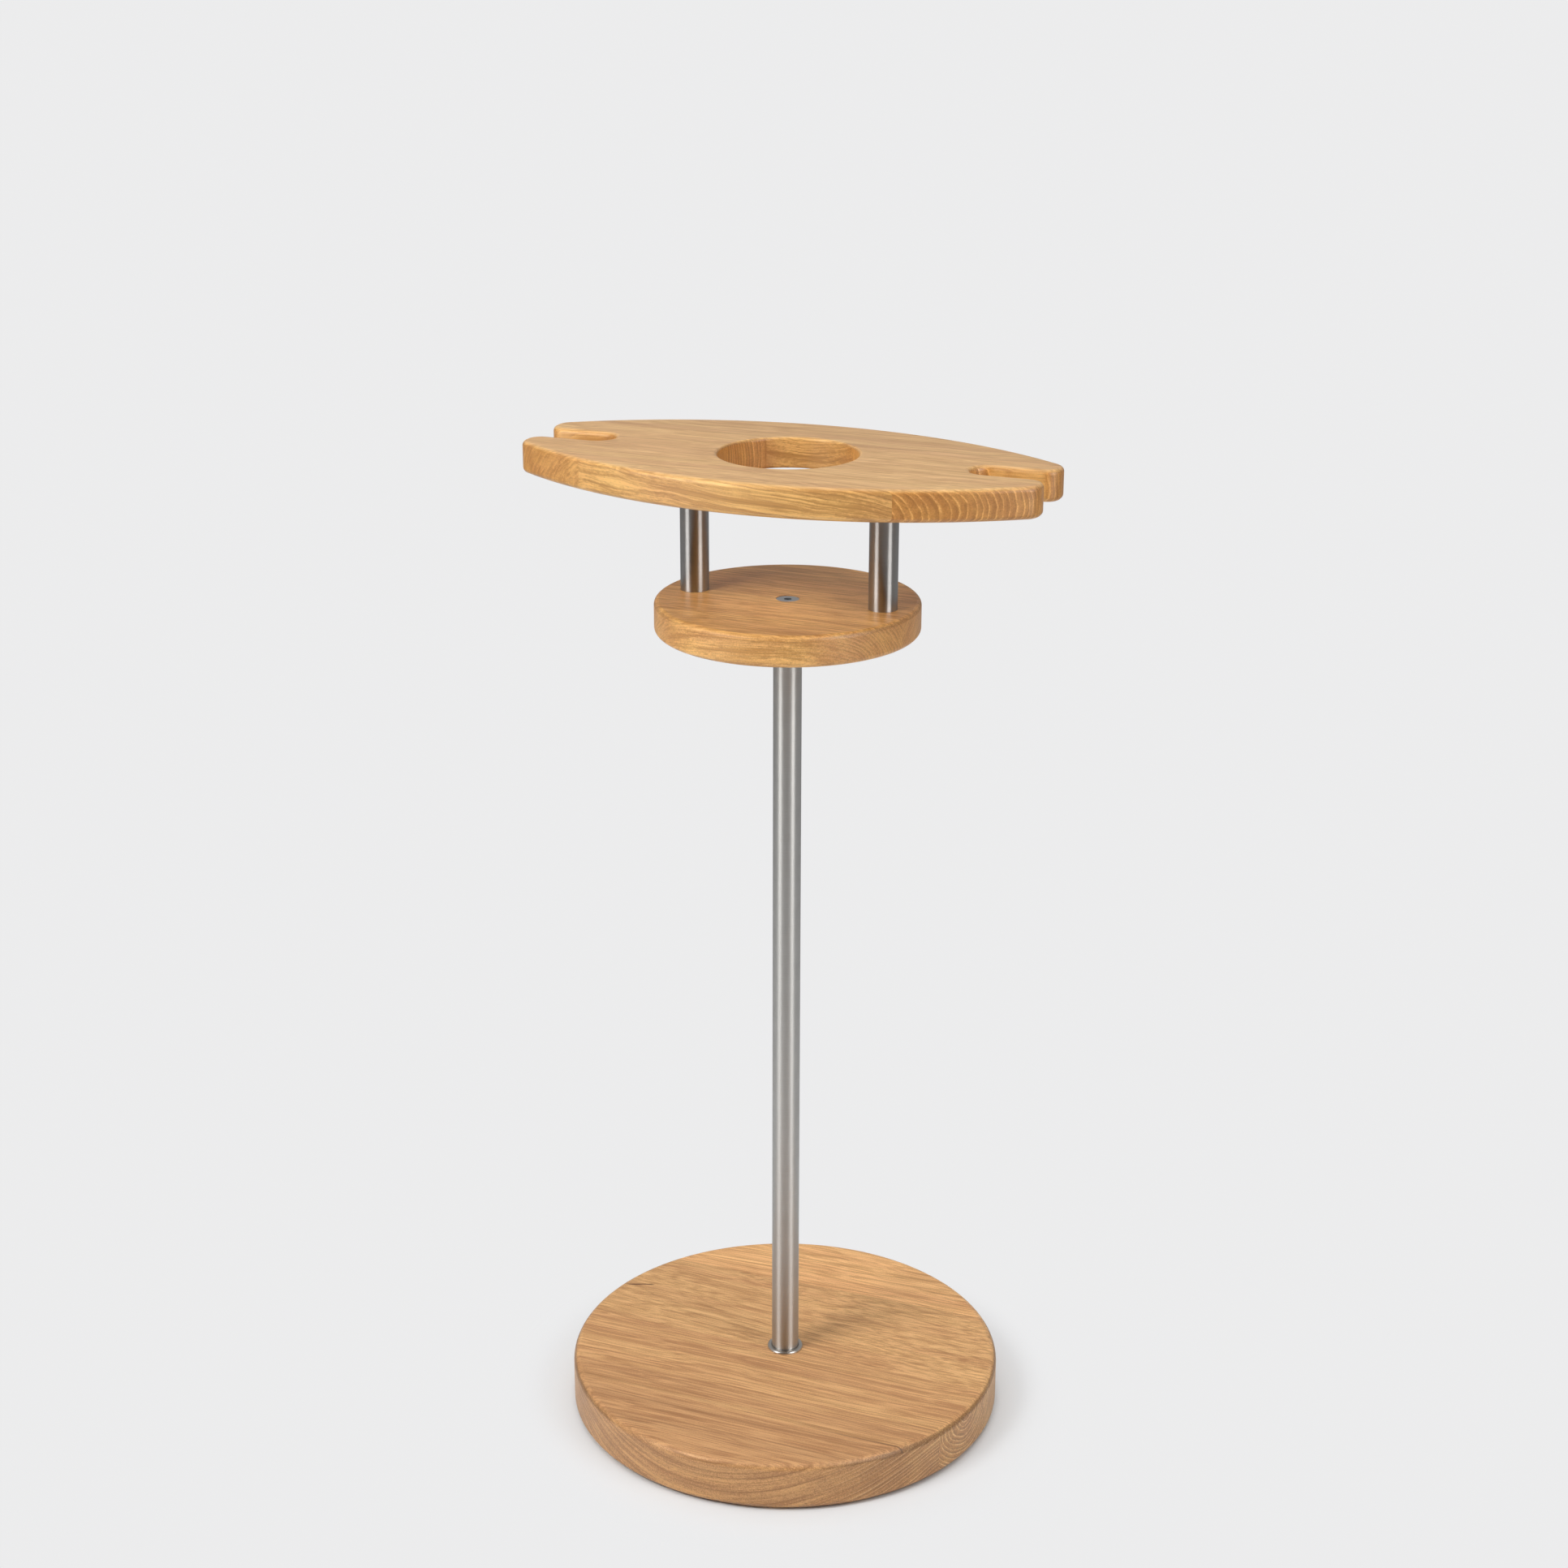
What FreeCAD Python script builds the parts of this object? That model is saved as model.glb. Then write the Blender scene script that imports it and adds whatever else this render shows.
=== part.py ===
import FreeCAD, Part
import math
import os

# Bottle and glass holder. An oak base carries a steel pole with an oak tray on it. Two short steel posts on
# the tray carry an oak top board, which has a round hole above the tray and an open slot in each end.
# Millimetres, +Z up. The origin is the middle of the foot on the floor, and +X runs along the top board.

Vector = FreeCAD.Vector

# What the hole and the slots take
bottle_diameter = 88.0
bottle_clearance = 4.0
glass_offset = 141.0
slot_width = 25.0

# Base
base_diameter = 320.0
base_thickness = 35.0
base_top_round = 5.0
base_bottom_round = 3.0

# Foot pads under the base
pad_count = 4
pad_diameter = 20.0
pad_height = 2.0
pad_round = 0.5
pad_inset = 18.0

# Pole, with the ring round its foot
pole_diameter = 20.0
pole_wall = 1.5
pole_length = 567.0
ring_width = 3.2
ring_height = 2.2
ring_outer_round = 1.7
ring_inner_round = 0.5

# Posts between the tray and the top board
post_diameter = 20.0
post_wall = 1.5
post_length = 80.0
post_to_hole = 11.0

# Tray
tray_thickness = 22.0
tray_round = 3.5
tray_beyond_post = 13.0

# Top board. A prong reaches from beside the centre of the slot's round bottom to the board's end.
board_thickness = 22.0
board_width = 186.5
board_end_width = 65.0
board_round = 3.5
board_hole_round = 2.0
prong_length = 43.5
prong_outer_round = 13.0
prong_inner_round = 11.0

# Seats of the tubes in the wood
seat_depth = 4.0
seat_clearance = 0.15

# Threaded plugs in the ends of the tubes
plug_length = 20.0
plug_chamfer = 0.8
plug_clearance = 0.05
thread_clearance = 0.05

# Bolt and washer that hold the pole on the base
bolt_diameter = 8.0
bolt_reach = 14.0
bolt_head_diameter = 13.0
bolt_head_height = 8.0
bolt_socket = 6.0
bolt_hole_clearance = 0.5
washer_diameter = 24.0
washer_thickness = 2.0
washer_clearance = 0.6
counterbore_spare = 2.0

# Countersunk screw that holds the tray on the pole
tray_screw_diameter = 8.0
tray_screw_head = 16.0
tray_screw_reach = 14.0
tray_screw_socket = 5.0

# Countersunk screws that hold the posts on the tray
post_screw_diameter = 6.0
post_screw_head = 12.0
post_screw_reach = 12.0
post_screw_socket = 4.0

# Countersinks, with the screws' heads just under the wood's face
head_depth = 0.3
head_clearance = 0.2
screw_hole_clearance = 0.25

# Studs and threaded inserts that hold the board on the posts
stud_diameter = 6.0
stud_reach = 12.0
stud_socket = 3.0
insert_diameter = 10.0
insert_length = 12.0
insert_clearance = 0.05

# Shares of a screw's diameter, of the bolt head's height and of a countersunk head's width
end_chamfer_share = 0.12
stud_socket_share = 0.5
bolt_socket_share = 0.55
head_socket_share = 0.28

# Largest share of its wall that a rounding takes
rim_share = 0.45
prong_inner_share = 0.55
prong_outer_share = 0.65

# Sizes that follow from the ones above
hole_radius = bottle_diameter / 2 + bottle_clearance
pole_radius = pole_diameter / 2
post_radius = post_diameter / 2
post_x = hole_radius + post_to_hole + post_radius
tray_radius = post_x + post_radius + tray_beyond_post
board_half_length = glass_offset + prong_length
board_end_half_width = board_end_width / 2
slot_half_width = slot_width / 2

# Heights above the floor
base_bottom = pad_height
base_top = base_bottom + base_thickness
tray_bottom = base_top + pole_length
tray_top = tray_bottom + tray_thickness
board_bottom = tray_top + post_length
board_top = board_bottom + board_thickness
pole_foot = base_top - seat_depth
pole_head = tray_bottom + seat_depth
post_foot = tray_top - seat_depth
post_head = board_bottom + seat_depth
bolt_head_bottom = base_bottom + counterbore_spare
bolt_head_top = bolt_head_bottom + bolt_head_height
counterbore_top = bolt_head_top + washer_thickness


def line(start, end):
    """Straight edge."""
    return Part.LineSegment(start, end).toShape()


def arc(start, middle, end):
    """Circular edge through three points."""
    return Part.Arc(start, middle, end).toShape()


def on_circle(centre_r, centre_z, radius, degrees):
    """Point of a circle in the upright plane through the axis."""
    angle = math.radians(degrees)
    return Vector(centre_r + radius * math.cos(angle), 0, centre_z + radius * math.sin(angle))


def quarter(centre_r, centre_z, radius, start, end):
    """Quarter circle in the upright plane through the axis, between two angles in degrees."""
    angles = (start, (start + end) / 2, end)
    return arc(*[on_circle(centre_r, centre_z, radius, angle) for angle in angles])


def turned(edges):
    """Solid turned about the upright axis from a closed half section."""
    return Part.Face(Part.Wire(edges)).revolve(Vector(0, 0, 0), Vector(0, 0, 1), 360)


def cylinder(radius, bottom, top, x=0.0):
    """Upright cylinder between two heights."""
    return Part.makeCylinder(radius, top - bottom, Vector(x, 0, bottom))


def rounded_disc(radius, bottom, top, bottom_round, top_round):
    """Turned disc with a rounded lower and upper rim."""
    low = min(bottom_round, rim_share * (top - bottom))
    high = min(top_round, rim_share * (top - bottom))
    return turned(
        [
            line(Vector(0, 0, bottom), Vector(radius - low, 0, bottom)),
            quarter(radius - low, bottom + low, low, -90, 0),
            line(Vector(radius, 0, bottom + low), Vector(radius, 0, top - high)),
            quarter(radius - high, top - high, high, 0, 90),
            line(Vector(radius - high, 0, top), Vector(0, 0, top)),
            line(Vector(0, 0, top), Vector(0, 0, bottom)),
        ]
    )


def tube(radius, wall, bottom, top):
    """Round tube between two heights."""
    return cylinder(radius, bottom, top).cut(cylinder(radius - wall, bottom, top))


def rod(radius, bottom, top, bottom_chamfer=0.0, top_chamfer=0.0):
    """Turned rod with a chamfer at each end that is asked for."""
    points = [Vector(0, 0, bottom), Vector(radius - bottom_chamfer, 0, bottom)]
    if bottom_chamfer:
        points.append(Vector(radius, 0, bottom + bottom_chamfer))
    if top_chamfer:
        points.append(Vector(radius, 0, top - top_chamfer))
    points += [Vector(radius - top_chamfer, 0, top), Vector(0, 0, top)]
    corners = zip(points, points[1:] + points[:1])
    return turned([line(start, end) for start, end in corners])


def hex_socket(across_flats, face, depth):
    """Hexagonal recess from a face towards +Z, or towards -Z with a negative depth."""
    corner = across_flats / math.sqrt(3)
    angles = [math.radians(60 * step) for step in range(7)]
    corners = [Vector(corner * math.cos(angle), corner * math.sin(angle), face) for angle in angles]
    return Part.Face(Part.makePolygon(corners)).extrude(Vector(0, 0, depth))


def moved(shape, x):
    """Copy of a shape, moved along the board."""
    copy = shape.copy()
    copy.translate(Vector(x, 0, 0))
    return copy


def threaded_plug(tube_radius, wall, thread, bottom):
    """Plug pressed into the end of a tube, bored right through for its thread."""
    top = bottom + plug_length
    plug = rod(tube_radius - wall - plug_clearance, bottom, top, plug_chamfer, plug_chamfer)
    return plug.cut(cylinder(thread / 2 + thread_clearance, bottom, top))


def countersunk_screw(thread, head, socket, face, tip):
    """Hexagon socket screw, with a 90 degree head just under a face of the wood and its tip at a height."""
    down = 1 if face > tip else -1
    height = (head - thread) / 2
    crown = face - down * head_depth
    neck = crown - down * height
    chamfer = thread * end_chamfer_share
    cone = Part.makeCone(head / 2, thread / 2, height, Vector(0, 0, crown), Vector(0, 0, -down))
    if down > 0:
        shank = rod(thread / 2, tip, neck, bottom_chamfer=chamfer)
    else:
        shank = rod(thread / 2, neck, tip, top_chamfer=chamfer)
    recess = hex_socket(socket, crown, -down * head * head_socket_share)
    return cone.fuse(shank).removeSplitter().cut(recess)


def countersunk_hole(thread, head, face, far_face):
    """Screw hole from one face of the wood to the other, with the countersink in the first face."""
    down = 1 if face > far_face else -1
    radius = thread / 2 + screw_hole_clearance
    rim = head / 2 + head_clearance
    into_wood = Vector(0, 0, -down)
    mouth = Part.makeCylinder(rim, head_depth, Vector(0, 0, face), into_wood)
    cone = Part.makeCone(rim, radius, rim - radius, Vector(0, 0, face - down * head_depth), into_wood)
    hole = cylinder(radius, min(face, far_face), max(face, far_face))
    return mouth.fuse([cone, hole])


def base_disc():
    """Oak base with a seat for the pole above, and a bolt hole with its counterbore below."""
    disc = rounded_disc(base_diameter / 2, base_bottom, base_top, base_bottom_round, base_top_round)
    seat = cylinder(pole_radius + seat_clearance, pole_foot, base_top)
    hole = cylinder(bolt_diameter / 2 + bolt_hole_clearance, base_bottom, base_top)
    counterbore = cylinder(washer_diameter / 2 + washer_clearance, base_bottom, counterbore_top)
    return disc.cut(seat.fuse([hole, counterbore]))


def foot_pad(index):
    """Round rubber pad stuck under the base, near its rim."""
    pad = rounded_disc(pad_diameter / 2, 0, base_bottom, pad_round, pad_round)
    reach = base_diameter / 2 - pad_inset - pad_diameter / 2
    angle = math.radians(360 * (index + 0.5) / pad_count)
    pad.translate(Vector(reach * math.cos(angle), reach * math.sin(angle), 0))
    return pad


def base_bolt():
    """Socket head bolt from under the base into the pole's lower plug."""
    chamfer = bolt_diameter * end_chamfer_share
    head = rod(bolt_head_diameter / 2, bolt_head_bottom, bolt_head_top, bottom_chamfer=chamfer)
    shank = rod(bolt_diameter / 2, bolt_head_top, pole_foot + bolt_reach, top_chamfer=chamfer)
    recess = hex_socket(bolt_socket, bolt_head_bottom, bolt_head_height * bolt_socket_share)
    return head.fuse(shank).removeSplitter().cut(recess)


def base_washer():
    """Wide washer between the bolt's head and the wood."""
    hole_diameter = bolt_diameter + 2 * screw_hole_clearance
    wall = (washer_diameter - hole_diameter) / 2
    return tube(washer_diameter / 2, wall, bolt_head_top, counterbore_top)


def pole_foot_ring():
    """Polished ring round the pole's foot, with a domed rim."""
    inner = pole_radius + seat_clearance
    outer = inner + ring_width
    crown = base_top + ring_height
    return turned(
        [
            line(Vector(inner, 0, base_top), Vector(outer, 0, base_top)),
            line(Vector(outer, 0, base_top), Vector(outer, 0, crown - ring_outer_round)),
            quarter(outer - ring_outer_round, crown - ring_outer_round, ring_outer_round, 0, 90),
            line(Vector(outer - ring_outer_round, 0, crown), Vector(inner + ring_inner_round, 0, crown)),
            quarter(inner + ring_inner_round, crown - ring_inner_round, ring_inner_round, 90, 180),
            line(Vector(inner, 0, crown - ring_inner_round), Vector(inner, 0, base_top)),
        ]
    )


def tray_disc():
    """Oak tray with seats for the pole below and the posts above, and the holes of their screws."""
    disc = rounded_disc(tray_radius, tray_bottom, tray_top, tray_round, tray_round)
    cuts = [
        cylinder(pole_radius + seat_clearance, tray_bottom, pole_head),
        countersunk_hole(tray_screw_diameter, tray_screw_head, tray_top, tray_bottom),
    ]
    post_hole = countersunk_hole(post_screw_diameter, post_screw_head, tray_bottom, tray_top)
    for x in (-post_x, post_x):
        cuts.append(cylinder(post_radius + seat_clearance, post_foot, tray_top, x))
        cuts.append(moved(post_hole, x))
    return disc.cut(cuts)


def tray_screw():
    """Screw from the tray's top into the pole's upper plug."""
    tip = pole_head - tray_screw_reach
    return countersunk_screw(tray_screw_diameter, tray_screw_head, tray_screw_socket, tray_top, tip)


def post_screw():
    """Screw from under the tray into a post's lower plug."""
    tip = post_foot + post_screw_reach
    return countersunk_screw(post_screw_diameter, post_screw_head, post_screw_socket, tray_bottom, tip)


def board_stud():
    """Headless stud from a post's upper plug into the insert in the board."""
    chamfer = stud_diameter * end_chamfer_share
    bottom = post_head - stud_reach
    stud = rod(stud_diameter / 2, bottom, post_head + insert_length, chamfer, chamfer)
    return stud.cut(hex_socket(stud_socket, bottom, stud_diameter * stud_socket_share))


def board_insert():
    """Threaded insert in the board's underside, above a post."""
    top = post_head + insert_length
    sleeve = rod(insert_diameter / 2, post_head, top, plug_chamfer, plug_chamfer)
    return sleeve.cut(cylinder(stud_diameter / 2 + thread_clearance, post_head, top))


def board_outline():
    """Closed outline of the top board: two long arcs, and squared ends with an open round-ended slot."""
    edges = []
    bulge = board_width / 2
    for side in (1, -1):
        end = side * board_half_length
        slot = side * glass_offset
        slot_bottom = slot - side * slot_half_width
        corner = side * board_end_half_width
        mouth = side * slot_half_width
        edges += [
            arc(Vector(-end, -corner, 0), Vector(0, -side * bulge, 0), Vector(end, -corner, 0)),
            line(Vector(end, -corner, 0), Vector(end, -mouth, 0)),
            line(Vector(end, -mouth, 0), Vector(slot, -mouth, 0)),
            arc(Vector(slot, -mouth, 0), Vector(slot_bottom, 0, 0), Vector(slot, mouth, 0)),
            line(Vector(slot, mouth, 0), Vector(end, mouth, 0)),
            line(Vector(end, mouth, 0), Vector(end, corner, 0)),
        ]
    return Part.Wire(edges)


def prong_edges(shape, offset):
    """Upright edges of the board's ends that lie at one distance from its middle line."""
    corners = []
    for edge in shape.Edges:
        box = edge.BoundBox
        upright = box.XLength + box.YLength < 0.001
        at_end = abs(abs(box.XMin) - board_half_length) < 0.001
        if upright and at_end and abs(abs(box.YMin) - offset) < 0.001:
            corners.append(edge)
    return corners


def edges_at_height(shape, height):
    """Edges that lie flat at one height."""
    boxes = [(edge, edge.BoundBox) for edge in shape.Edges]
    return [edge for edge, box in boxes if abs(box.ZMin - height) + abs(box.ZMax - height) < 0.001]


def bottle_hole():
    """Round hole through the board that widens at both faces, so that its rims are rounded."""
    rim = min(board_hole_round, rim_share * board_thickness)
    return turned(
        [
            line(Vector(0, 0, board_bottom), Vector(hole_radius + rim, 0, board_bottom)),
            quarter(hole_radius + rim, board_bottom + rim, rim, 270, 180),
            line(Vector(hole_radius, 0, board_bottom + rim), Vector(hole_radius, 0, board_top - rim)),
            quarter(hole_radius + rim, board_top - rim, rim, 180, 90),
            line(Vector(hole_radius + rim, 0, board_top), Vector(0, 0, board_top)),
            line(Vector(0, 0, board_top), Vector(0, 0, board_bottom)),
        ]
    )


def top_board():
    """Oak top board with a round hole, a slot between round-tipped prongs at each end, and rolled edges."""
    panel = Part.Face(board_outline()).extrude(Vector(0, 0, board_thickness))
    panel.translate(Vector(0, 0, board_bottom))
    prong_width = board_end_half_width - slot_half_width
    inner_round = min(prong_inner_round, prong_inner_share * prong_width)
    outer_round = min(prong_outer_round, prong_outer_share * prong_width)
    panel = panel.makeFillet(inner_round, prong_edges(panel, slot_half_width))
    panel = panel.makeFillet(outer_round, prong_edges(panel, board_end_half_width))
    rims = edges_at_height(panel, board_bottom) + edges_at_height(panel, board_top)
    panel = panel.makeFillet(min(board_round, rim_share * board_thickness), rims)
    cuts = [bottle_hole()]
    for x in (-post_x, post_x):
        insert_top = post_head + insert_length
        cuts.append(cylinder(post_radius + seat_clearance, board_bottom, post_head, x))
        cuts.append(cylinder(insert_diameter / 2 + insert_clearance, board_bottom, insert_top, x))
    return panel.cut(cuts)


def post_pieces(x):
    """One post with all that fastens it, by name."""
    head_plug = post_head - plug_length
    pieces = {
        "post_tube": tube(post_radius, post_wall, post_foot, post_head),
        "post_lower_plug": threaded_plug(post_radius, post_wall, post_screw_diameter, post_foot),
        "post_upper_plug": threaded_plug(post_radius, post_wall, stud_diameter, head_plug),
        "post_screw": post_screw(),
        "board_stud": board_stud(),
        "board_insert": board_insert(),
    }
    return {name: moved(shape, x) for name, shape in pieces.items()}


def save(name, shape):
    """One file for each piece."""
    shape.exportStep(os.path.join("parts", name + ".step"))


def main():
    os.makedirs("parts", exist_ok=True)
    for index in range(pad_count):
        save("foot_pad_%d" % (index + 1), foot_pad(index))
    save("base_disc", base_disc())
    save("base_bolt", base_bolt())
    save("base_washer", base_washer())
    save("pole_foot_ring", pole_foot_ring())
    save("pole_tube", tube(pole_radius, pole_wall, pole_foot, pole_head))
    save("pole_lower_plug", threaded_plug(pole_radius, pole_wall, bolt_diameter, pole_foot))
    upper_plug = threaded_plug(pole_radius, pole_wall, tray_screw_diameter, pole_head - plug_length)
    save("pole_upper_plug", upper_plug)
    save("tray_disc", tray_disc())
    save("tray_screw", tray_screw())
    for side, x in (("left", -post_x), ("right", post_x)):
        for name, shape in post_pieces(x).items():
            save(side + "_" + name, shape)
    save("top_board", top_board())


main()
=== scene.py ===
import math
from collections import namedtuple
import bpy
from mathutils import Matrix, Vector

# Bottle and glass holder: the finish of its oak and steel, on a pale floor in soft studio light. Metres.

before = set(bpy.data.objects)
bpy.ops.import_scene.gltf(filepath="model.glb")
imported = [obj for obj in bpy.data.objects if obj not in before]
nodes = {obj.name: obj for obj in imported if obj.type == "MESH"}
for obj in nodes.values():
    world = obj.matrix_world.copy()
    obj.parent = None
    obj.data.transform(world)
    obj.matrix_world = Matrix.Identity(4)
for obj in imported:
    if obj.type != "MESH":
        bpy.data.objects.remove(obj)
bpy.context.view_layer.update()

# Camera: where it stands, where it points, and its lens on a 36 mm sensor
camera_place = Vector((0.6333, -1.6804, 1.1350))
camera_heading = math.radians(20.72)
camera_pitch = math.radians(-19.74)
camera_roll = math.radians(0.177)
camera_lens = 62.26
sensor_width = 36.0

# Studio
background = (0.84, 0.84, 0.845, 1.0)
floor_colour = (0.8, 0.816, 0.83, 1.0)
floor_radius = 30.0
ambient = 0.2
lamp_target = Vector((0.0, 0.0, 0.45))

# Room that reflections see: how bright it is behind the object, beside it and in front of it, and the
# directions between which its back and its front turn into its sides
room_back = 0.84
room_side = 0.34
room_front = 0.03
back_turn = (-0.75, -0.15)
front_turn = (-0.1, 0.7)

# Where the shadow on the floor turns into the plain background, as distances from the object's middle: a part
# of it beside the base's rim, and the rest further out
shadow_rim = (0.158, 0.165)
shadow_out = (0.16, 0.215)
rim_part = 0.35

# Floor that reflections see: distances over which it fades and over which its near part is lifted, the
# directions between which each of the two grows, and how much it is there
fade_reach = (0.6, 1.6)
fade_ahead = (-0.7, 0.9)
fade_part = (0.3, 0.95)
lift_reach = (1.25, 0.7)
lift_ahead = (0.0, 0.8)
lift_part = (0.0, 0.24)

# Strips of wood that a piece is glued from, front to back, in millimetres. Each starts at an edge across the
# grain. Its growth rings are a ring's width apart, round the heart of its own log, which rises along the
# grain. Tone is its brightness, warmth turns it from yellow to red, and lean makes end grain start earlier.
# Tone is partly painted light: on the base it rises from front to back, painted shade at the front and
# painted light at the back, and the tray's back stave is darker with the painted shade of a bottle standing
# on it.
Stave = namedtuple("Stave", "edge heart_y heart_z rise ring tone warmth lean", defaults=[0.0])

base_staves = [
    Stave(-170.0, 10.0, -230.0, 0.02, 3.1, 0.83, 0.8),
    Stave(-97.5, 10.0, -230.0, 0.02, 3.1, 0.87, 0.4),
    Stave(-68.0, -36.0, 36.0, 0.02, 3.4, 0.96, 0.2),
    Stave(-6.0, 60.0, -34.0, 0.09, 2.8, 1.04, -0.25),
    Stave(92.0, 150.0, -40.0, -0.03, 2.6, 1.22, 0.0),
]
tray_staves = [
    Stave(-100.0, -92.0, 575.0, 0.05, 2.3, 0.96, 0.0),
    Stave(-20.0, 40.0, 560.0, 0.03, 2.2, 0.9, 0.2),
]
board_staves = [
    Stave(-100.0, -95.0, 655.0, -0.09, 2.4, 0.95, 0.0),
    Stave(-72.5, -100.0, 705.0, 0.05, 2.3, 0.94, 0.1, 0.4),
    Stave(36.0, -10.0, 610.0, 0.02, 2.2, 0.86, 0.2),
]

# One piece's oak:
# pale and deep are the colours of long grain, ends and rings those of end grain between and in the rings,
# the side tint is that of the sides against the top, partly their own colour and partly painted shade (darker
# sides on the base and board) and painted light (brighter sides on the tray),
# blur is how gently pale turns into deep, on the sides and on top,
# speck is the share of specks, dash the length of a dash in the grain and ripple the height of its ripples,
# turn is how far a face looks along the grain where end grain starts and where it is full,
# left is the share of end grain that a left end shows,
# rim is the strength of the line at the rim, coat the coat of oil, and skew the slope of the joints.
Look = namedtuple("Look", "pale deep ends rings side blur speck dash ripple turn left rim coat skew")

base_look = Look(
    pale=(0.82, 0.475, 0.215, 1.0), deep=(0.49, 0.245, 0.1, 1.0),
    ends=(0.62, 0.305, 0.115, 1.0), rings=(1.0, 0.7, 0.38, 1.0), side=(0.98, 0.95, 0.81, 1.0),
    blur=(0.43, 0.37), speck=1.3, dash=60.0, ripple=2.0,
    turn=(0.4, 0.8), left=0.7, rim=0.75, coat=0.25, skew=0.0)
tray_look = Look(
    pale=(0.84, 0.47, 0.16, 1.0), deep=(0.5, 0.235, 0.06, 1.0),
    ends=(0.66, 0.31, 0.09, 1.0), rings=(0.74, 0.41, 0.155, 1.0), side=(1.12, 1.11, 1.11, 1.0),
    blur=(0.38, 0.27), speck=0.6, dash=30.0, ripple=1.6,
    turn=(0.35, 0.8), left=0.6, rim=0.4, coat=0.4, skew=0.0)
board_look = Look(
    pale=(0.85, 0.525, 0.235, 1.0), deep=(0.52, 0.28, 0.1, 1.0),
    ends=(0.55, 0.24, 0.055, 1.0), rings=(0.92, 0.53, 0.21, 1.0), side=(1.04, 0.94, 0.66, 1.0),
    blur=(0.3, 0.45), speck=0.25, dash=40.0, ripple=3.5,
    turn=(0.4, 0.75), left=0.8, rim=0.3, coat=0.7, skew=0.043)

# Browns of the oak's lines and marks, and the tints between which its bands drift
line_brown = (0.35, 0.17, 0.06, 1.0)
pore_brown = (0.26, 0.12, 0.04, 1.0)
rim_brown = (0.2, 0.09, 0.025, 1.0)
crack_brown = (0.13, 0.06, 0.025, 1.0)
yellow_tint = (0.99, 1.02, 0.98, 1.0)
red_tint = (1.01, 0.95, 0.93, 1.0)
white = (1.0, 1.0, 1.0, 1.0)

# Sizes of the oak's features in millimetres: along the fibres and twice across them, or for layered streaks
# along the fibres, outward and round the heart
wave_size = (130.0, 45.0, 45.0)
ripple_size = (32.0, 14.0, 14.0)
speck_size = (0.9, 0.9, 0.9)
pore_size = (12.0, 0.7, 0.7)
dash_width = 1.2
fine_layers = (70.0, 1.4, 9.0)
fine_fibres = (100.0, 1.5, 1.5)
medium_layers = (130.0, 4.5, 22.0)
medium_fibres = (140.0, 5.0, 5.0)
broad_size = (260.0, 12.0, 12.0)

# Sway of the grain: the height of its waves, and of its ripples in end grain
wave_height = 9.0
end_ripple = 1.5

# Places in a log: the multiple of its heart's place by which a stave is moved along it, so that logs differ,
# and the radius at which lengths round the heart are measured
log_shift = 7.0
heart_reach = 60.0

# Growth rings: how many rings they drift and how quickly, and the parts of the year in which spring wood
# starts, in which it ends, and in which late wood starts
ring_drift = 1.6
drift_pace = 0.4
spring_start = (0.0, 0.08)
spring_end = (0.36, 0.12)
late_start = (0.45, 0.8)

# Directions of a face, upward: where it turns into a top, where end grain gives way to that, and where the
# line at the rim starts and ends. To the right: where left ends turn into right ends.
top_turn = (0.5, 0.98)
end_turn = (0.7, 0.35)
rim_start = (0.15, 0.3)
rim_end = (0.88, 0.65)
right_turn = (-0.1, 0.1)

# Share of a stave's lean that its left end takes
left_lean = 0.4

# How much each kind of streak deepens long grain, and the depth in the middle. A pair is for the sides and
# for the top. The top has only a part of the grit, and the weight of the ring lines is for the sides.
fine_weight = 1.1
dash_weight = (0.6, 1.1)
medium_weight = (1.3, 0.65)
middle_depth = (1.5, 1.43)
top_grit = 0.4
line_weight = 0.5
pore_weight = (0.5, 0.36)

# End grain: how brown it is, and how dark its shade is
end_brown = 0.75
end_shade = 0.48

# Broad bands: how much they change the warmth, and the tone from pale to dark
band_warmth = 2.2
band_tone = (1.07, 0.93)

# Marks on top of the base, in millimetres: its front joint, which opens to the right, and a crack, with the
# direction across it and its half length. Each has a width and a strength, and sways with the grain.
joint_y = -96.7
joint_opening = (40.0, 105.0)
joint_width = (1.0, 0.2)
joint_strength = 0.75
joint_sway = 1.5
crack_x = -139.0
crack_y = 44.5
across_crack = (-0.325, 0.945)
crack_width = (1.2, 0.4)
crack_reach = (11.0, 8.0)
crack_strength = 0.85
crack_sway = 3.0

# Metal and rubber: the sizes of their marks in metres, how dark the marks on metal are, and how much they
# change its roughness
brush_size = (0.05, 0.05, 0.00025)
cloud_size = (0.03, 0.03, 0.012)
wipe_size = (0.004, 0.004, 0.004)
dust_size = (0.0006, 0.0006, 0.0006)
brush_shade = 0.93
wipe_shade = 0.94
mark_roughness = 0.08

# Depth of the fine relief of each material
wood_relief = 0.00007
steel_relief = 0.00001
rubber_relief = 0.00004


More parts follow.
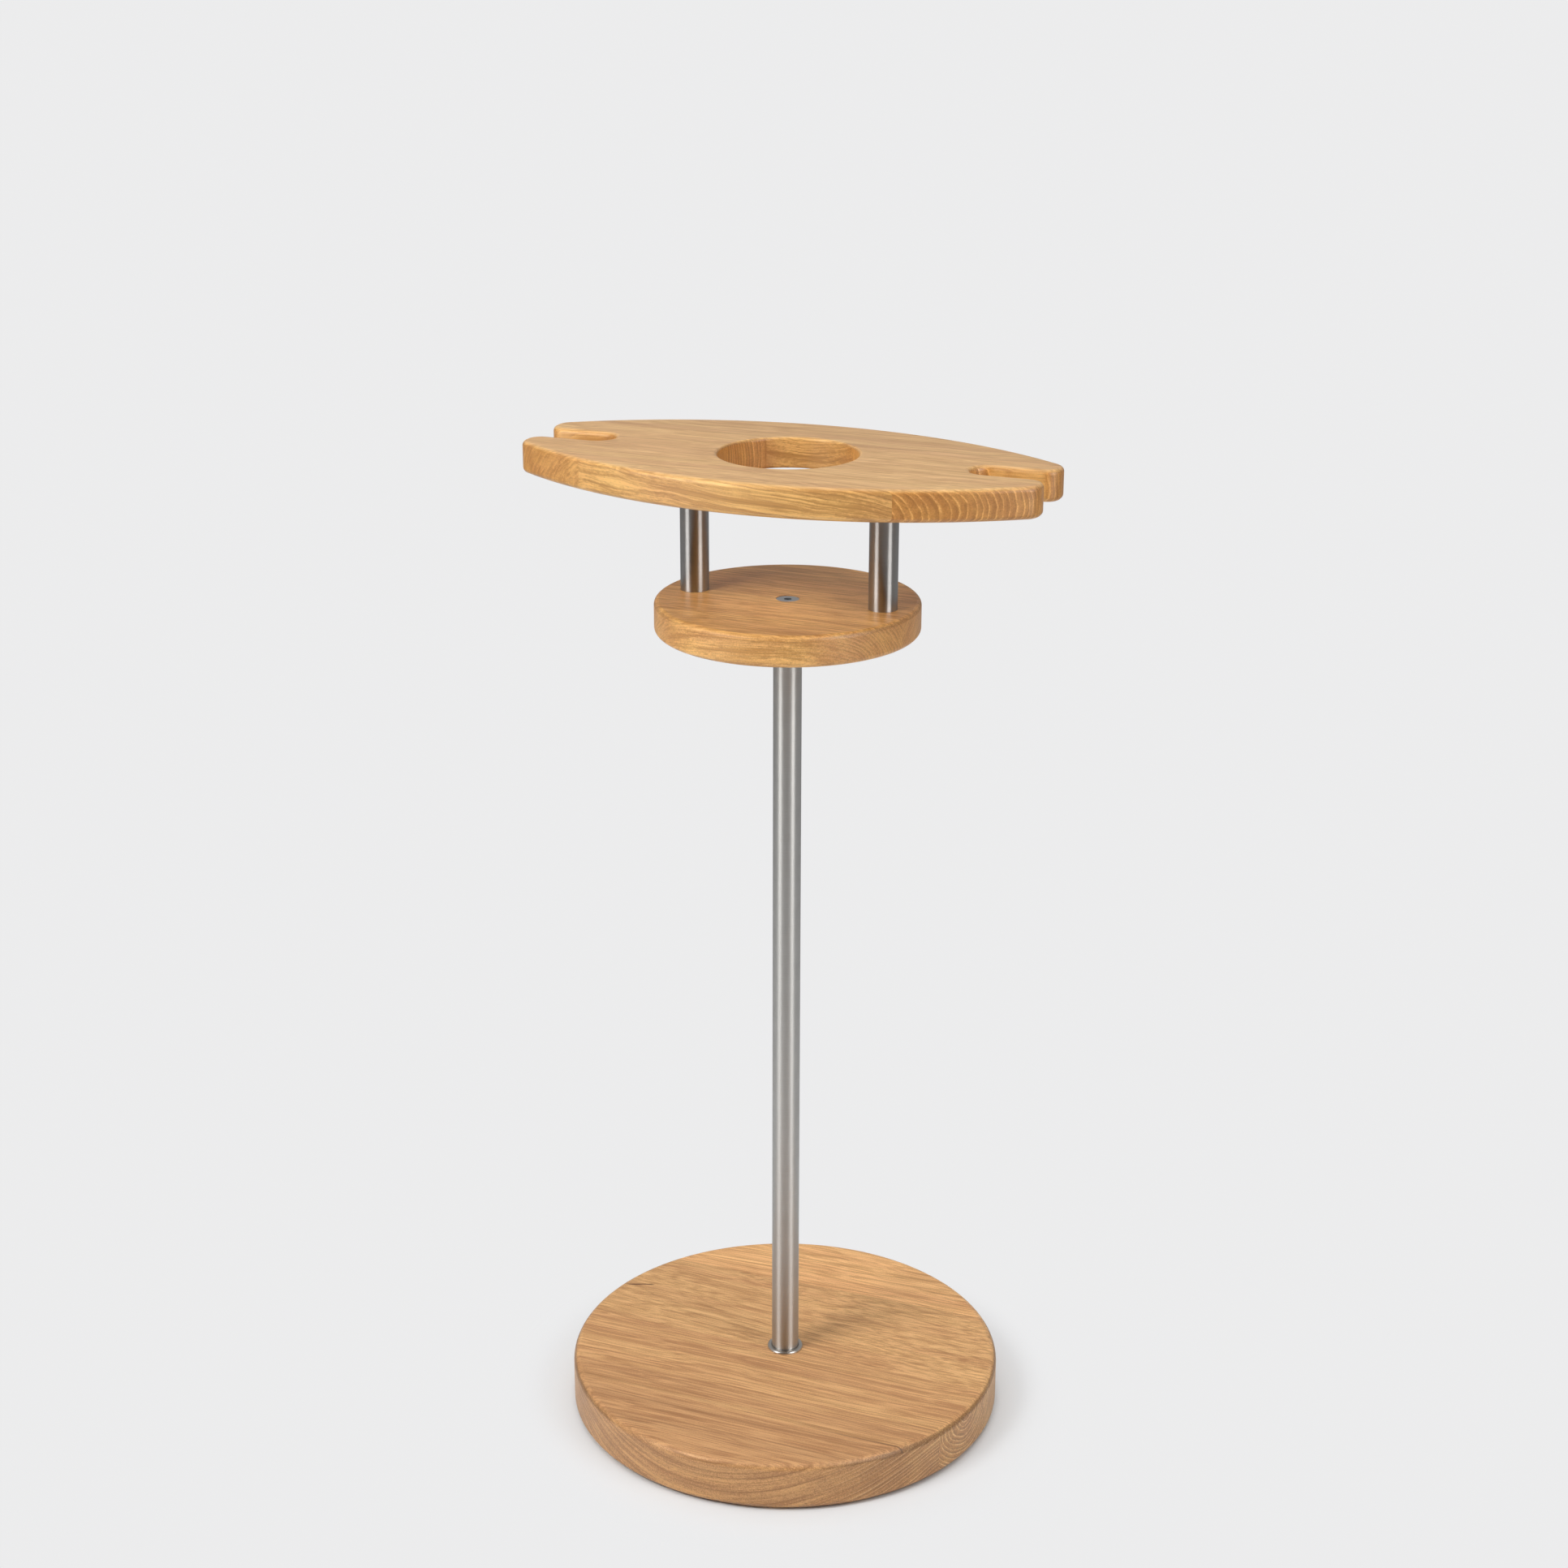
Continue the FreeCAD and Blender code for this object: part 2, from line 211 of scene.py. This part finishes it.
class Graph:
    """A node tree with short calls that add one node or a few, and return their output."""

    def __init__(self, tree):
        self.tree = tree
        self.tree.nodes.clear()

    def feed(self, socket, value):
        """Links a socket to another node's output, or sets its value."""
        if isinstance(value, bpy.types.NodeSocket):
            self.tree.links.new(value, socket)
        else:
            socket.default_value = value

    def node(self, kind, inputs=(), **settings):
        """Adds a node with its settings and its inputs, which go by name or by number."""
        node = self.tree.nodes.new("ShaderNode" + kind)
        for name, value in settings.items():
            setattr(node, name, value)
        for key, value in dict(inputs).items():
            self.feed(node.inputs[key], value)
        return node

    def math(self, operation, *values):
        return self.node("Math", enumerate(values), operation=operation).outputs[0]

    def add(self, a, b):
        return self.math("ADD", a, b)

    def subtract(self, a, b):
        return self.math("SUBTRACT", a, b)

    def multiply(self, a, b):
        return self.math("MULTIPLY", a, b)

    def absolute(self, a):
        return self.math("ABSOLUTE", a)

    def blend(self, share, start, end):
        """Straight change from one value to another as a share goes from 0 to 1."""
        return self.math("MULTIPLY_ADD", self.subtract(end, start), share, start)

    def smooth(self, value, low, high, to_low=0.0, to_high=1.0):
        """Smooth step of a value from one range to another."""
        inputs = {0: value, 1: low, 2: high, 3: to_low, 4: to_high}
        return self.node("MapRange", inputs, interpolation_type="SMOOTHSTEP").outputs[0]

    def ease(self, share, start, end):
        """Smooth change from one value to another as a share goes from 0 to 1."""
        return self.smooth(share, 0.0, 1.0, start, end)

    def split(self, vector):
        return self.node("SeparateXYZ", {0: vector}).outputs

    def join(self, x, y, z):
        return self.node("CombineXYZ", {0: x, 1: y, 2: z}).outputs[0]

    def grey(self, value):
        return self.join(value, value, value)

    def noise(self, vector, size, detail=1.0, roughness=0.5):
        """Noise of about 0 to 1, whose features have a size along each axis."""
        scale = [1 / length for length in size]
        stretched = self.node("VectorMath", {0: vector, 1: scale}, operation="MULTIPLY").outputs[0]
        inputs = {"Vector": stretched, "Scale": 1.0, "Detail": detail, "Roughness": roughness}
        return self.node("TexNoise", inputs).outputs[0]

    def mix(self, factor, a, b, kind="MIX"):
        """Mixture of two colours."""
        inputs = {0: factor, 6: a, 7: b}
        return self.node("Mix", inputs, data_type="RGBA", blend_type=kind).outputs[2]

    def tinted(self, colour, tint):
        """A colour times another."""
        return self.mix(1.0, colour, tint, "MULTIPLY")


def new_material(name):
    material = bpy.data.materials.new(name)
    material.use_nodes = True
    return material, Graph(material.node_tree)


def finish_surface(graph, inputs, height=None, depth=0.0):
    """Ends a material with its shader, and with fine relief where a height is given."""
    inputs = dict(inputs)
    if height is not None:
        bump = {"Height": height, "Distance": depth, "Strength": 1.0}
        inputs["Normal"] = graph.node("Bump", bump).outputs[0]
    shader = graph.node("BsdfPrincipled", inputs)
    graph.node("OutputMaterial", {0: shader.outputs[0]})


def darker(colour, share):
    return [share * part for part in colour[:3]] + [1.0]


# What the oak's colours are made from: how far a face looks up and how far it shows end grain, the place in
# the year and its spring wood, how steep the rings lie, and specks, pores and streaks from fine to broad
Grain = namedtuple("Grain", "on_top end year spring steep specks pores dashes fine medium broad")


def stave_value(graph, joint, staves, field):
    """Value that changes from stave to stave across the grain."""
    value = getattr(staves[0], field)
    for before, stave in zip(staves, staves[1:]):
        past = graph.math("GREATER_THAN", joint, stave.edge)
        step = getattr(stave, field) - getattr(before, field)
        value = graph.math("MULTIPLY_ADD", past, step, value)
    return value


def end_share(graph, look, normal, lean):
    """How far a face shows end grain, from 0 on tops and long sides to 1 on ends."""
    lean = graph.multiply(lean, graph.smooth(normal[0], *right_turn, left_lean, 1.0))
    share = graph.smooth(graph.add(graph.absolute(normal[0]), lean), *look.turn)
    share = graph.multiply(share, graph.smooth(normal[2], *end_turn))
    return graph.multiply(share, graph.smooth(normal[0], *right_turn, look.left, 1.0))


def log_place(graph, look, place, end, of_stave):
    """Place in a log whose grain sways: along it, across and up from its heart, and how far out it is."""
    x, y, z = graph.split(place)
    wave = graph.noise(place, wave_size)
    ripple = graph.noise(place, ripple_size)
    sway = graph.multiply(graph.subtract(ripple, 0.5), graph.ease(end, look.ripple, end_ripple))
    sway = graph.math("MULTIPLY_ADD", graph.subtract(wave, 0.5), wave_height, sway)
    across = graph.subtract(graph.add(y, sway), of_stave("heart_y"))
    heart = graph.math("MULTIPLY_ADD", x, of_stave("rise"), of_stave("heart_z"))
    up = graph.subtract(graph.add(z, sway), heart)
    along = graph.math("MULTIPLY_ADD", of_stave("heart_y"), log_shift, x)
    radius = graph.math("SQRT", graph.add(graph.multiply(across, across), graph.multiply(up, up)))
    return along, across, up, radius


def log_rings(graph, radius, ring):
    """Place within the year, 0 to 1, of the growth rings at a distance from a log's heart."""
    count = graph.math("DIVIDE", radius, ring)
    uneven = graph.noise(graph.join(graph.multiply(count, drift_pace), 0.0, 0.0), (1.0, 1.0, 1.0))
    return graph.math("FRACT", graph.math("MULTIPLY_ADD", uneven, ring_drift, count))


def oak_grain(graph, look, place, normal, of_stave):
    """Grain of the oak. Streaks follow the layers of the log on the sides and its fibres on top."""
    on_top = graph.smooth(normal[2], *top_turn)
    end = end_share(graph, look, normal, of_stave("lean"))
    along, across, up, radius = log_place(graph, look, place, end, of_stave)
    steep = graph.absolute(graph.math("DIVIDE", across, radius))
    year = log_rings(graph, radius, of_stave("ring"))
    spring = graph.multiply(graph.smooth(year, *spring_start), graph.smooth(year, *spring_end))

    fibres = graph.join(along, across, up)
    layers = graph.join(along, radius, graph.multiply(graph.math("ARCTAN2", up, across), heart_reach))
    specks = graph.noise(place, speck_size)
    pores = graph.smooth(graph.noise(fibres, pore_size), 0.57, 0.7)
    pores = graph.multiply(pores, graph.math("MULTIPLY_ADD", spring, 0.5, 0.4))
    dashes = graph.noise(fibres, (look.dash, dash_width, dash_width))
    layered = graph.noise(layers, fine_layers, detail=2.0, roughness=0.6)
    straight = graph.noise(fibres, fine_fibres, detail=3.0, roughness=0.6)
    fine = graph.blend(on_top, layered, straight)
    layered = graph.noise(layers, medium_layers, detail=2.0)
    straight = graph.noise(fibres, medium_fibres, detail=2.0)
    medium = graph.blend(on_top, layered, straight)
    broad = graph.noise(fibres, broad_size)
    return Grain(on_top, end, year, spring, steep, specks, pores, dashes, fine, medium, broad)


def long_grain_colour(graph, look, grain):
    """Pale to deep streaks, with brown lines along the rings and dark pores. The tops are calmer."""
    grit = graph.ease(grain.on_top, look.speck, top_grit * look.speck)
    depth = graph.multiply(grain.fine, fine_weight)
    depth = graph.math("MULTIPLY_ADD", graph.subtract(grain.specks, 0.5), grit, depth)
    depth = graph.add(depth, graph.multiply(grain.dashes, graph.ease(grain.on_top, *dash_weight)))
    depth = graph.add(depth, graph.multiply(grain.medium, graph.ease(grain.on_top, *medium_weight)))
    depth = graph.subtract(depth, graph.ease(grain.on_top, *middle_depth))
    depth = graph.math("DIVIDE", depth, graph.ease(grain.on_top, *look.blur))
    colour = graph.mix(graph.smooth(depth, -1.0, 1.0), look.pale, look.deep)
    lines = graph.multiply(grain.spring, graph.smooth(grain.medium, 0.35, 0.6, 0.3, 1.0))
    top_weight = graph.smooth(grain.steep, 0.05, 0.5, 0.12, 0.4)
    lines = graph.multiply(lines, graph.blend(grain.on_top, line_weight, top_weight))
    colour = graph.mix(lines, colour, line_brown)
    pores = graph.multiply(grain.pores, graph.ease(grain.on_top, *pore_weight))
    return graph.mix(pores, colour, pore_brown)


def end_grain_colour(graph, look, grain, long_grain):
    """Browner and speckled, with pale thin rings."""
    shade = darker(look.ends, end_shade)
    colour = graph.mix(end_brown, long_grain, look.ends)
    spots = graph.smooth(grain.specks, 0.4, 0.7, 0.0, 0.25 + 0.25 * look.speck)
    colour = graph.mix(spots, colour, shade)
    late = graph.smooth(grain.fine, 0.35, 0.6, 0.0, 0.3 + 0.22 * look.speck)
    late = graph.multiply(graph.smooth(grain.year, *late_start), late)
    colour = graph.mix(late, colour, shade)
    rings = graph.multiply(grain.spring, graph.smooth(grain.specks, 0.3, 0.6, 1.0, 0.65))
    rings = graph.multiply(rings, graph.smooth(grain.fine, 0.62, 0.38, 0.35, 1.0))
    return graph.mix(rings, colour, look.rings)


def drifting(graph, look, grain, colour, of_stave):
    """A colour with warmer and yellower bands, the tone of each stave, and the tint of the sides. The tones
    also paint shade and light on staves of the base and tray, and the side tints paint shade on the sides of
    the base and board and light on those of the tray.
    """
    warmth = graph.math("MULTIPLY_ADD", grain.broad, band_warmth, of_stave("warmth"))
    colour = graph.tinted(colour, graph.mix(graph.smooth(warmth, 0.5, 1.8), yellow_tint, red_tint))
    # Stave tone: the staves' own brightness, with painted shade and light on the base staves and on the
    # tray's back stave
    tone = graph.multiply(of_stave("tone"), graph.smooth(grain.broad, 0.25, 0.75, *band_tone))
    colour = graph.tinted(colour, graph.grey(tone))
    # Tint of the sides against the top: their own colour, with painted shade on the sides of the base and
    # board and painted light on the tray's sides
    return graph.tinted(colour, graph.mix(grain.on_top, look.side, white))


def rim_share(graph, look, grain, normal):
    """Fuzzy line where the rounded top edge meets end grain."""
    rim = graph.multiply(graph.smooth(normal[2], *rim_start), graph.smooth(normal[2], *rim_end))
    rim = graph.multiply(rim, graph.smooth(graph.absolute(normal[0]), 0.4, 0.6))
    rim = graph.multiply(rim, graph.smooth(grain.specks, 0.3, 0.6, 0.6, 1.0))
    return graph.multiply(rim, look.rim)


def base_marks(graph, x, y, normal, wobble):
    """Open stretch of a glued joint near the front of the base, and a short crack at its back."""
    top = graph.smooth(normal[2], 0.1, 0.4)
    beside = graph.absolute(graph.math("MULTIPLY_ADD", wobble, joint_sway, graph.subtract(y, joint_y)))
    opening = graph.smooth(x, *joint_opening, 0.0, joint_strength)
    joint = graph.multiply(graph.smooth(beside, *joint_width), opening)
    from_x = graph.subtract(x, crack_x)
    from_y = graph.subtract(y, crack_y)
    beside = graph.math("MULTIPLY_ADD", from_x, across_crack[0], graph.multiply(from_y, across_crack[1]))
    beside = graph.subtract(beside, crack_sway / 2)
    beside = graph.absolute(graph.math("MULTIPLY_ADD", wobble, crack_sway, beside))
    length = graph.smooth(graph.absolute(from_x), *crack_reach, 0.0, crack_strength)
    crack = graph.multiply(graph.smooth(beside, *crack_width), length)
    return graph.multiply(graph.math("MAXIMUM", joint, crack), top)


def oak(name, look, staves, marks=None):
    """Oiled oak with its fibres along X, as one solid pattern through the piece."""
    material, graph = new_material(name)
    metres = graph.node("TexCoord").outputs["Object"]
    place = graph.node("VectorMath", {0: metres, "Scale": 1000.0}, operation="SCALE").outputs[0]
    x, y = graph.split(place)[:2]
    normal = graph.split(graph.node("NewGeometry").outputs["Normal"])
    joint = graph.math("MULTIPLY_ADD", x, look.skew, y)

    def of_stave(field):
        return stave_value(graph, joint, staves, field)

    grain = oak_grain(graph, look, place, normal, of_stave)
    long_grain = long_grain_colour(graph, look, grain)
    end_grain = end_grain_colour(graph, look, grain, long_grain)
    colour = drifting(graph, look, grain, graph.mix(grain.end, long_grain, end_grain), of_stave)
    colour = graph.mix(rim_share(graph, look, grain, normal), colour, rim_brown)
    if marks:
        colour = graph.mix(marks(graph, x, y, normal, grain.medium), colour, crack_brown)

    pits = graph.multiply(grain.pores, graph.subtract(1.0, grain.end))
    relief = graph.subtract(graph.multiply(grain.fine, 0.4), pits)
    roughness = graph.math("MULTIPLY_ADD", grain.fine, 0.14, 0.36)
    surface = {"Base Color": colour, "Roughness": roughness, "IOR": 1.5}
    surface.update({"Coat Weight": look.coat, "Coat Roughness": 0.4})
    finish_surface(graph, surface, relief, wood_relief)
    return material


def brushed_steel(name, colour, roughness, anisotropy):
    """Steel brushed round its axis with a fine belt, which draws reflections out along the axis."""
    material, graph = new_material(name)
    metres = graph.node("TexCoord").outputs["Object"]
    fine = graph.noise(metres, brush_size, detail=3.0, roughness=0.7)
    cloud = graph.noise(metres, cloud_size, detail=2.0)
    metal = graph.mix(graph.smooth(fine, 0.3, 0.7), darker(colour, brush_shade), colour)
    rough = graph.add(roughness, graph.multiply(graph.subtract(cloud, 0.5), mark_roughness))
    tangent = graph.node("Tangent", direction_type="RADIAL", axis="Z").outputs[0]
    surface = {"Base Color": metal, "Metallic": 1.0, "Roughness": rough, "Tangent": tangent}
    surface.update({"Anisotropic": anisotropy, "Anisotropic Rotation": 0.25})
    finish_surface(graph, surface, fine, steel_relief)
    return material


def polished(name, colour, roughness):
    """Bright metal with faint wipe marks."""
    material, graph = new_material(name)
    metres = graph.node("TexCoord").outputs["Object"]
    wiped = graph.noise(metres, wipe_size, detail=3.0)
    rough = graph.add(roughness, graph.multiply(wiped, mark_roughness))
    metal = graph.mix(wiped, darker(colour, wipe_shade), colour)
    finish_surface(graph, {"Base Color": metal, "Metallic": 1.0, "Roughness": rough})
    return material


def rubber(name):
    """Soft black rubber with a fine grain."""
    material, graph = new_material(name)
    metres = graph.node("TexCoord").outputs["Object"]
    dust = graph.noise(metres, dust_size, detail=2.0)
    colour = graph.mix(dust, (0.02, 0.02, 0.02, 1.0), (0.045, 0.044, 0.043, 1.0))
    finish_surface(graph, {"Base Color": colour, "Roughness": 0.75}, dust, rubber_relief)
    return material


def dress():
    """Gives every node the finish of its piece."""
    tube = brushed_steel("brushed_tube", (0.6, 0.585, 0.56, 1.0), roughness=0.45, anisotropy=0.85)
    turned = brushed_steel("turned_steel", (0.52, 0.51, 0.5, 1.0), roughness=0.35, anisotropy=0.4)
    # The posts' steel is darker than the pole's: painted shade from the board above them and a painted dark
    # reflection of the bottle between them
    shaded_post_steel = brushed_steel("brushed_post_painted_shade", (0.47, 0.455, 0.44, 1.0), roughness=0.36, anisotropy=0.85)
    ring = polished("polished_ring", (0.66, 0.62, 0.57, 1.0), roughness=0.26)
    zinc = polished("zinc_plated", (0.62, 0.64, 0.66, 1.0), roughness=0.28)
    brass = polished("brass", (0.76, 0.55, 0.25, 1.0), roughness=0.25)
    base_oak = oak("oak_base", base_look, base_staves, base_marks)
    tray_oak = oak("oak_tray", tray_look, tray_staves)
    board_oak = oak("oak_board", board_look, board_staves)
    finishes = {
        "base_disc": base_oak,
        "tray_disc": tray_oak,
        "top_board": board_oak,
        "pole_foot_ring": ring,
        "left_post_tube": shaded_post_steel,
        "right_post_tube": shaded_post_steel,
    }
    endings = {
        "tube": tube,
        "plug": turned,
        "insert": brass,
        "bolt": zinc,
        "washer": zinc,
        "screw": zinc,
        "stud": zinc,
    }
    pad = rubber("pad_rubber")
    for name, node in nodes.items():
        material = finishes.get(name) or endings.get(name.split("_")[-1]) or pad
        for slot in node.material_slots:
            slot.material = material


def frontward(graph, x, y):
    """How far a horizontal place or direction lies to the front, which is fixed and towards camera_place."""
    front = Vector((camera_place.x, camera_place.y)).normalized()
    return graph.math("MULTIPLY_ADD", x, front.x, graph.multiply(y, front.y))


def make_floor():
    """Pale floor that keeps the shadow near the object and turns into the plain background further out."""
    bpy.ops.mesh.primitive_circle_add(vertices=128, radius=floor_radius, fill_type="NGON")
    floor = bpy.context.object
    floor.name = "studio_floor"
    material, graph = new_material("studio_floor")
    x, y = graph.split(graph.node("TexCoord").outputs["Object"])[:2]
    reach = graph.math("SQRT", graph.add(graph.multiply(x, x), graph.multiply(y, y)))
    rays = graph.node("LightPath").outputs

    # Reflections see the floor fade with distance, most of all to the front
    ahead = graph.math("DIVIDE", frontward(graph, x, y), reach)
    fade = graph.multiply(graph.smooth(reach, *fade_reach), graph.smooth(ahead, *fade_ahead, *fade_part))
    lift = graph.multiply(graph.smooth(reach, *lift_reach), graph.smooth(ahead, *lift_ahead, *lift_part))
    level = graph.math("MULTIPLY_ADD", graph.subtract(lift, fade), rays["Is Glossy Ray"], 1.0)
    colour = graph.tinted(floor_colour, graph.grey(level))
    lit = graph.node("BsdfDiffuse", {"Color": colour}).outputs[0]

    plain = graph.node("Emission", {"Color": background}).outputs[0]
    far = graph.smooth(reach, *shadow_rim, 0.0, rim_part)
    far = graph.math("MULTIPLY_ADD", graph.smooth(reach, *shadow_out), 1.0 - rim_part, far)
    far = graph.multiply(far, rays["Is Camera Ray"])
    mixed = graph.node("MixShader", {0: far, 1: lit, 2: plain}).outputs[0]
    graph.node("OutputMaterial", {0: mixed})
    floor.data.materials.append(material)


def make_world():
    """Soft even light from all round. Reflections see a room, pale at the back and dim at the front."""
    world = bpy.data.worlds.new("studio")
    bpy.context.scene.world = world
    world.use_nodes = True
    graph = Graph(world.node_tree)
    x, y = graph.split(graph.node("TexCoord").outputs["Generated"])[:2]
    ahead = frontward(graph, x, y)
    rays = graph.node("LightPath").outputs
    back = graph.smooth(ahead, *back_turn, room_back, room_side)
    front = graph.smooth(ahead, *front_turn, room_side, room_front)
    seen = graph.math("MINIMUM", back, front)
    room = graph.node("Background", {"Color": graph.grey(seen)}).outputs[0]
    even = graph.node("Background", {"Color": white, "Strength": ambient}).outputs[0]
    plain = graph.node("Background", {"Color": background}).outputs[0]
    mixed = graph.node("MixShader", {0: rays["Is Glossy Ray"], 1: even, 2: room}).outputs[0]
    mixed = graph.node("MixShader", {0: rays["Is Camera Ray"], 1: mixed, 2: plain}).outputs[0]
    graph.node("OutputWorld", {0: mixed})


def add_softbox(name, turn, distance, height, size, power, seen=True, lights=True):
    """Rectangular soft light at an angle to the right of the camera, aimed at the middle of the object.
    It may be left out of reflections, or only be seen in them."""
    turned = math.atan2(camera_place.y, camera_place.x) + math.radians(turn)
    place = Vector((distance * math.cos(turned), distance * math.sin(turned), height))
    light = bpy.data.lights.new(name, "AREA")
    light.shape = "RECTANGLE"
    light.size, light.size_y = size
    light.energy = power
    lamp = bpy.data.objects.new(name, light)
    lamp.location = place
    lamp.rotation_euler = (place - lamp_target).to_track_quat("Z", "Y").to_euler()
    lamp.visible_camera = False
    lamp.visible_glossy = seen
    lamp.visible_diffuse = lights
    bpy.context.scene.collection.objects.link(lamp)


def light_scene():
    """Three lamps that light the object, and two strips that only its reflections see."""
    add_softbox("key_left", turn=-54, distance=1.6, height=1.7, size=(0.8, 0.8), power=27, seen=False)
    add_softbox("fill_right", turn=54, distance=1.6, height=1.5, size=(0.9, 0.9), power=11, seen=False)
    add_softbox("top", turn=180, distance=0.3, height=4.5, size=(3.5, 3.5), power=84, seen=False)
    add_softbox("strip_left", turn=-58, distance=1.7, height=1.1, size=(0.85, 1.6), power=16, lights=False)
    add_softbox("strip_right", turn=48, distance=1.7, height=1.1, size=(0.8, 1.6), power=16, lights=False)


def make_camera():
    camera = bpy.data.objects.new("camera", bpy.data.cameras.new("camera"))
    camera.data.lens = camera_lens
    camera.data.sensor_width = sensor_width
    heading = Matrix.Rotation(camera_heading, 4, "Z")
    pitch = Matrix.Rotation(math.radians(90) + camera_pitch, 4, "X")
    roll = Matrix.Rotation(camera_roll, 4, "Z")
    camera.matrix_world = Matrix.Translation(camera_place) @ heading @ pitch @ roll
    bpy.context.scene.collection.objects.link(camera)
    bpy.context.scene.camera = camera


dress()
make_floor()
make_world()
light_scene()
make_camera()
bpy.context.scene.view_settings.view_transform = "Standard"
